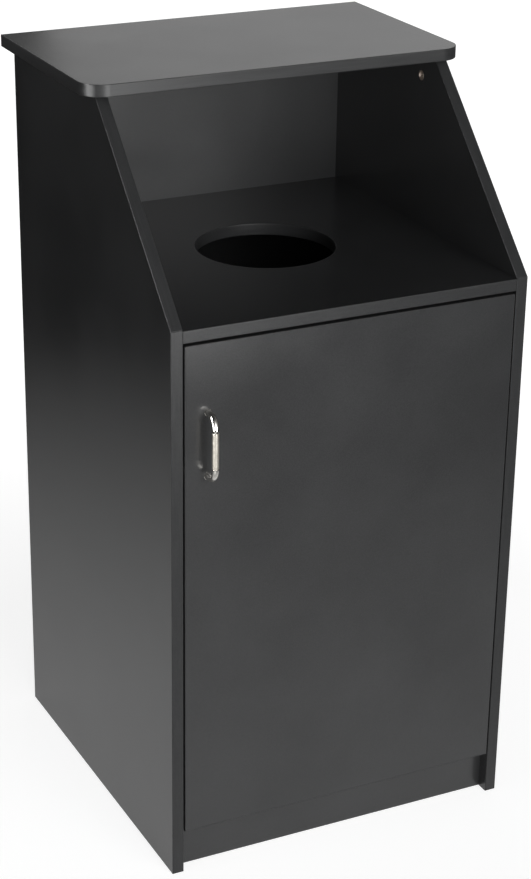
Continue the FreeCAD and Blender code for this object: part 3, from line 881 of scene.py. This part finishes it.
@dataclass
class Hinges:
    """Concealed hinges with their screws, and the screws of the pull."""

    head_radius: float = 3.5 * MILLIMETRE
    head_height: float = 1.6 * MILLIMETRE
    shank_radius: float = 2.0 * MILLIMETRE
    arm_head_radius: float = 3.2 * MILLIMETRE
    pull_head_radius: float = 4.0 * MILLIMETRE
    pull_head_height: float = 2.5 * MILLIMETRE

    # How far the recesses are turned, in radians
    turns: tuple[float, ...] = (0.3, 1.1, 0.7, 0.1)
    pull_turn: float = 0.4

    def dress(self) -> None:
        """Give the pressed metal its finish."""
        dress("lower_hinge_cup upper_hinge_cup lower_hinge_arm upper_hinge_arm", PLATED_STEEL)
        dress("lower_hinge_plate upper_hinge_plate hinge_pins", PLATED_STEEL)

    def build(self) -> None:
        """Model the screws and seat them."""
        self.set_of_screws("cup_screw", "door", BACK, ScrewPair.STACKED, self.head_radius)
        self.set_of_screws("plate_screw", "carcass", -RIGHT, ScrewPair.STACKED, self.head_radius)
        self.set_of_screws("arm_screw", "carcass", -RIGHT, ScrewPair.IN_LINE, self.arm_head_radius)
        self.pull_screws()

    def set_of_screws(self, name: str, body: str, facing: Vector, pair: ScrewPair,
                      head_radius: float) -> None:
        """Four screws of the two hinges that look the same way.

        Args:
            name: Name of the screws, which is also part of their CAD node's name.
            body: Body that they move with.
            facing: Where their heads look.
            pair: How the two at each hinge lie.
            head_radius: Radius of their heads.
        """
        node = f"hinge_{name}s"
        low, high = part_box(node)
        along = Vector([abs(part) for part in facing])
        length = (high - low).dot(along)
        top = Vector([high[axis] if facing[axis] > 0 else low[axis] for axis in range(3)])
        level = top.dot(along) * along - facing * self.head_height
        places = []
        for y, z in self.spots(pair, low, high, head_radius):
            place = Vector((low.x + head_radius, y, z))
            places.append(place - along * place.dot(along) + level)
        shank = length - self.head_height
        master = Screw(head_radius, self.head_height, self.shank_radius, shank).build(name)
        turned = [standing(place, facing, turn) for place, turn in zip(places, self.turns)]
        for thing in copies(master, name, turned):
            seat(thing, body, node, PLATED_STEEL)

    @staticmethod
    def spots(pair: ScrewPair, low: Vector, high: Vector, radius: float) -> list[Pair]:
        """Where the four screws of a set lie.

        Args:
            pair: How the two at each hinge lie.
            low: Lowest corner round all four.
            high: Highest corner.
            radius: Radius of the heads.

        Returns:
            Y and Z of each screw in metres, lowest first.
        """
        lowest = low.z + radius
        highest = high.z - radius
        if pair is ScrewPair.IN_LINE:
            return [(y, z) for z in (lowest, highest) for y in (low.y + radius, high.y - radius)]
        cup_low, cup_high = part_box("lower_hinge_cup")
        apart = 2 * ((cup_low.z + cup_high.z) / 2 - lowest)
        middle = (low.y + high.y) / 2
        return [(middle, z) for z in (lowest, lowest + apart, highest - apart, highest)]

    def pull_screws(self) -> None:
        """The two screws that hold the pull from inside the door."""
        node = "handle_screws"
        low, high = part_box(node)
        x = (low.x + high.x) / 2
        seat_y = high.y - self.pull_head_height
        places = []
        for z in (low.z + self.pull_head_radius, high.z - self.pull_head_radius):
            places.append(standing(Vector((x, seat_y, z)), BACK, self.pull_turn + z))
        shank = high.y - low.y - self.pull_head_height
        screw = Screw(self.pull_head_radius, self.pull_head_height, self.shank_radius, shank)
        for thing in copies(screw.build("pull_screw"), "pull_screw", places):
            seat(thing, "door", node, ZINC_STEEL)


@dataclass
class Joinery:
    """Cam locks, cam bolts and dowels that hold the boards together."""

    from_edge: float = 34.0 * MILLIMETRE
    setback: float = 37.0 * MILLIMETRE
    back_from_end: float = 160.0 * MILLIMETRE
    kick_share: float = 1 / 3

    def dress(self) -> None:
        """Give the hidden fittings their finish."""
        dress("cam_bolts", ZINC_STEEL)
        dress("wood_dowels", BEECH)

    def build(self) -> None:
        """Model one cam lock and seat a copy at each joint."""
        master = CamLock().build("cam_lock")
        for thing in copies(master, "cam_lock", list(self.places())):
            seat(thing, "carcass", "cam_locks", ZINC_CAM)

    def places(self) -> Iterator[Matrix]:
        """Where the cam locks go.

        Returns:
            Matrix of each cam, its face outwards and its bolt toward the board that it holds.
        """
        panel_low, panel_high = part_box("right_side_panel")
        back_low, back_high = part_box("back_panel")
        _, slope_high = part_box("right_slope_strip")
        rear_y = back_low.y - self.setback
        inner_x = panel_low.x
        reach = inner_x - self.from_edge
        for side in (-1, 1):
            outward = RIGHT * side
            for y in (slope_high.y + self.setback, rear_y):
                place = Vector((side * inner_x, y, panel_high.z - self.from_edge))
                yield self.turned(place, -outward, UP)
            for board, strip in (("deck_board", "deck_front_strip"), ("floor_board", "floor_front_strip")):
                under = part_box(board)[0].z
                for y in (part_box(strip)[0].y + self.setback, rear_y):
                    yield self.turned(Vector((side * reach, y, under)), -UP, outward)
            kick_low, kick_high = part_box("kick_board")
            kick_z = kick_low.z + (kick_high.z - kick_low.z) * self.kick_share
            yield self.turned(Vector((side * reach, kick_high.y, kick_z)), BACK, outward)
            for z in (back_low.z + self.back_from_end, back_high.z - self.back_from_end):
                yield self.turned(Vector((side * reach, back_high.y, z)), BACK, outward)

    @staticmethod
    def turned(place: Vector, facing: Vector, toward: Vector) -> Matrix:
        """Matrix of one cam lock.

        Args:
            place: Middle of its face.
            facing: Where the face looks.
            toward: Where its bolt goes.

        Returns:
            Matrix from the origin to that place.
        """
        across = facing.cross(toward)
        turn = Matrix((toward, across, facing)).transposed().to_4x4()
        return Matrix.Translation(place) @ turn


@dataclass
class Softbox:
    """Flat lamp that looks at a point, with its power in watts and its spread in degrees."""

    name: str
    place: Vector
    aim: Vector
    width: float
    height: float
    power: float
    spread: float = 180.0
    gloss_only: bool = False

    def build(self) -> None:
        """Hang the lamp."""
        light = bpy.data.lights.new(self.name, "AREA")
        light.shape = "RECTANGLE"
        light.size = self.width
        light.size_y = self.height
        light.energy = self.power
        light.spread = math.radians(self.spread)
        lamp = bpy.data.objects.new(self.name, light)
        lamp.visible_camera = False
        lamp.visible_diffuse = not self.gloss_only
        lamp.location = self.place
        lamp.rotation_euler = (self.aim - self.place).to_track_quat("-Z", "Y").to_euler()
        bpy.context.scene.collection.objects.link(lamp)
        log.info("%s: softbox", self.name)


@dataclass(frozen=True)
class RoomGlow:
    """Soft light that comes from one side of the room."""

    toward: Triple
    strength: float
    tightness: float


@dataclass(frozen=True)
class PaleFloor(Finish):
    """White floor that shows the cabinet's soft shadow, and a white sheet round it that its gloss shows."""

    paper: float = 0.86
    far_paper: float = 0.04
    seen_paper: float = 0.42
    seen_glow: Range = (0.82, 1.0)
    seen_edge: Range = (0.7, 1.8)
    sheet_glow: float = 0.42
    sheet_middle: Triple = (0.1, 0.0, 0.0)
    sheet_edge: Range = (0.3, 2.2)
    side_sheet_glow: float = 1.0
    side_sheet_middle: Triple = (-1.2, -1.6, 0.0)
    side_sheet_edge: Range = (0.5, 1.3)

    def build(self, graph: Graph) -> None:
        """White to the camera, and to all else a sheet that fades out away from the cabinet.

        Args:
            graph: Tree to fill.
        """
        path = graph.add("ShaderNodeLightPath")
        away = self.distance(graph, self.sheet_middle)
        aside = self.distance(graph, self.side_sheet_middle)
        paper = graph.span(away, self.sheet_edge, (self.paper, self.far_paper))
        sheet = graph.span(away, self.sheet_edge, (self.sheet_glow, 0.0))
        side_sheet = graph.span(aside, self.side_sheet_edge, (self.side_sheet_glow, 0.0))
        mirrored = graph.sums("MAXIMUM", path.outputs["Is Glossy Ray"], path.outputs["Is Transmission Ray"])
        shine = graph.sums("MULTIPLY", mirrored, graph.sums("MAXIMUM", sheet, side_sheet))
        round_about = self.lit_paper(graph, paper, shine)
        seen_glow = graph.span(away, self.seen_edge, self.seen_glow)
        seen = self.lit_paper(graph, opaque((self.seen_paper,) * 3), seen_glow)
        inputs = {"Fac": path.outputs["Is Camera Ray"], "Shader": round_about}
        both = graph.add("ShaderNodeMixShader", inputs)
        graph.tree.links.new(seen, both.inputs[2])
        graph.add("ShaderNodeOutputMaterial", {"Surface": both.outputs["Shader"]})

    @staticmethod
    def distance(graph: Graph, middle: Triple) -> Socket:
        """Distance on the floor from a point.

        Args:
            graph: Tree to add to.
            middle: The point.

        Returns:
            Value socket, in metres.
        """
        away = graph.add("ShaderNodeVectorMath", {"Vector": graph.coordinates()}, operation="DISTANCE")
        away.inputs[1].default_value = middle
        return away.outputs["Value"]

    @staticmethod
    def lit_paper(graph: Graph, paper: object, glow: Socket) -> Socket:
        """Matt paper that also glows.

        Args:
            graph: Tree to add to.
            paper: Colour of the paper, as a value or a socket.
            glow: Strength of the glow.

        Returns:
            Shader socket.
        """
        plain = graph.add("ShaderNodeBsdfDiffuse", {"Color": paper}).outputs["BSDF"]
        shine = graph.add("ShaderNodeEmission", {"Color": opaque(WHITE), "Strength": glow})
        both = graph.add("ShaderNodeAddShader", {"Shader": plain})
        graph.tree.links.new(shine.outputs["Emission"], both.inputs[1])
        return both.outputs["Shader"]


@dataclass
class Studio:
    """Floor, soft light and camera."""

    floor_radius: float = 6.0
    floor_corners: int = 96
    room: tuple[RoomGlow, ...] = (
        RoomGlow((0.1, -0.95, 0.25), 2.5, 8.0),
        RoomGlow((0.1, -0.95, 0.05), 3.0, 16.0),
        RoomGlow((-0.2, -0.95, 0.05), 1.9, 16.0),
        RoomGlow((0.75, -0.6, 0.3), 0.2, 8.0),
        RoomGlow((0.85, 0.45, 0.3), 0.65, 8.0),
        RoomGlow((-0.3, 0.95, 0.2), 0.4, 8.0),
        RoomGlow((0.0, 0.0, 1.0), 0.05, 5.0),
    )
    lamps: tuple[Softbox, ...] = (
        Softbox(
            "front_softbox", place=Vector((0.02, -1.4, 0.75)), aim=Vector((-0.2, -0.275, 0.85)),
            width=0.6, height=0.6, power=1.6, spread=90.0,
        ),
        Softbox(
            "left_softbox", place=Vector((-1.85, -0.45, 0.7)), aim=Vector((-0.28, -0.2, 0.7)),
            width=1.1, height=0.9, power=6.5,
        ),
        Softbox(
            "left_sheen", place=Vector((-1.84, -0.45, 0.75)), aim=Vector((-0.28, -0.2, 0.75)),
            width=1.1, height=1.0, power=17.0, gloss_only=True,
        ),
        Softbox(
            "high_sheen", place=Vector((-1.84, -0.1, 1.7)), aim=Vector((-0.28, -0.2, 1.0)),
            width=0.5, height=0.9, power=40.0, gloss_only=True,
        ),
        Softbox(
            "back_softbox", place=Vector((1.65, 2.8, 1.9)), aim=Vector((0.0, 0.0, 1.1)),
            width=1.8, height=1.8, power=5.3,
        ),
    )

    # Camera, with its angles in degrees, its lens in millimetres and its shift in long sides of the picture
    camera_place: Vector = Vector((-1.3886, -2.7847, 1.8929))
    azimuth: float = 26.375
    elevation: float = 23.652
    roll: float = 0.811
    lens: float = 89.69
    shift: Pair = (0.0053, 0.0124)

    def build(self) -> None:
        """Set up everything round the cabinet."""
        bpy.context.scene.view_settings.view_transform = "Standard"
        self.world()
        self.floor()
        for lamp in self.lamps:
            lamp.build()
        self.camera()

    def world(self) -> None:
        """White to the camera, and to all else a dim room with light from a few sides."""
        world = bpy.data.worlds.new("studio")
        bpy.context.scene.world = world
        world.use_nodes = True
        graph = Graph(world.node_tree)
        way = graph.add("ShaderNodeTexCoord").outputs["Generated"]
        level = None
        for side in self.room:
            along = graph.add("ShaderNodeVectorMath", {"Vector": way}, operation="DOT_PRODUCT")
            along.inputs[1].default_value = Vector(side.toward).normalized()
            lobe = graph.sums("POWER", graph.sums("MAXIMUM", along.outputs["Value"], 0.0), side.tightness)
            part = graph.sums("MULTIPLY", lobe, side.strength)
            level = part if level is None else graph.sums("ADD", level, part)
        room = graph.add("ShaderNodeBackground", {"Color": opaque(WHITE), "Strength": level})
        white = graph.add("ShaderNodeBackground", {"Color": opaque(WHITE), "Strength": 1.0})
        path = graph.add("ShaderNodeLightPath")
        both = graph.add("ShaderNodeMixShader", {"Fac": path.outputs["Is Camera Ray"]})
        graph.tree.links.new(room.outputs["Background"], both.inputs[1])
        graph.tree.links.new(white.outputs["Background"], both.inputs[2])
        graph.add("ShaderNodeOutputWorld", {"Surface": both.outputs["Shader"]})

    def floor(self) -> None:
        """Round floor under the cabinet."""
        bpy.ops.object.select_all(action="DESELECT")
        bpy.ops.mesh.primitive_circle_add(
            vertices=self.floor_corners, radius=self.floor_radius, fill_type="NGON"
        )
        floor = bpy.context.object
        floor.name = "studio_floor"
        floor.data.materials.append(PaleFloor("pale_floor").material())
        floor.data.materials[0].cycles.emission_sampling = "NONE"
        log.info("studio_floor: stage")

    def camera(self) -> None:
        """Camera at the photograph's viewing angle."""
        data = bpy.data.cameras.new("camera")
        data.lens = self.lens
        data.shift_x, data.shift_y = self.shift
        camera = bpy.data.objects.new("camera", data)
        across = math.radians(self.azimuth)
        down = math.radians(self.elevation)
        level = math.cos(down)
        look = Vector((math.sin(across) * level, math.cos(across) * level, -math.sin(down)))
        right = look.cross(UP).normalized()
        upward = right.cross(look)
        tilt = math.radians(self.roll)
        side = right * math.cos(tilt) + upward * math.sin(tilt)
        top = upward * math.cos(tilt) - right * math.sin(tilt)
        turn = Matrix((side, top, -look)).transposed().to_4x4()
        camera.matrix_world = Matrix.Translation(self.camera_place) @ turn
        bpy.context.scene.collection.objects.link(camera)
        bpy.context.scene.camera = camera
        log.info("camera: lens %.1f mm", self.lens)


def main() -> None:
    """Dress the cabinet, build its fine pieces and set up the studio."""
    logging.basicConfig(level=logging.INFO, format="%(message)s")
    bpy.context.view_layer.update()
    Carcass().dress()
    Door().dress()
    PullHandle().build()
    hinges = Hinges()
    hinges.dress()
    hinges.build()
    joinery = Joinery()
    joinery.dress()
    joinery.build()
    Studio().build()


if __name__ == "__main__":
    main()
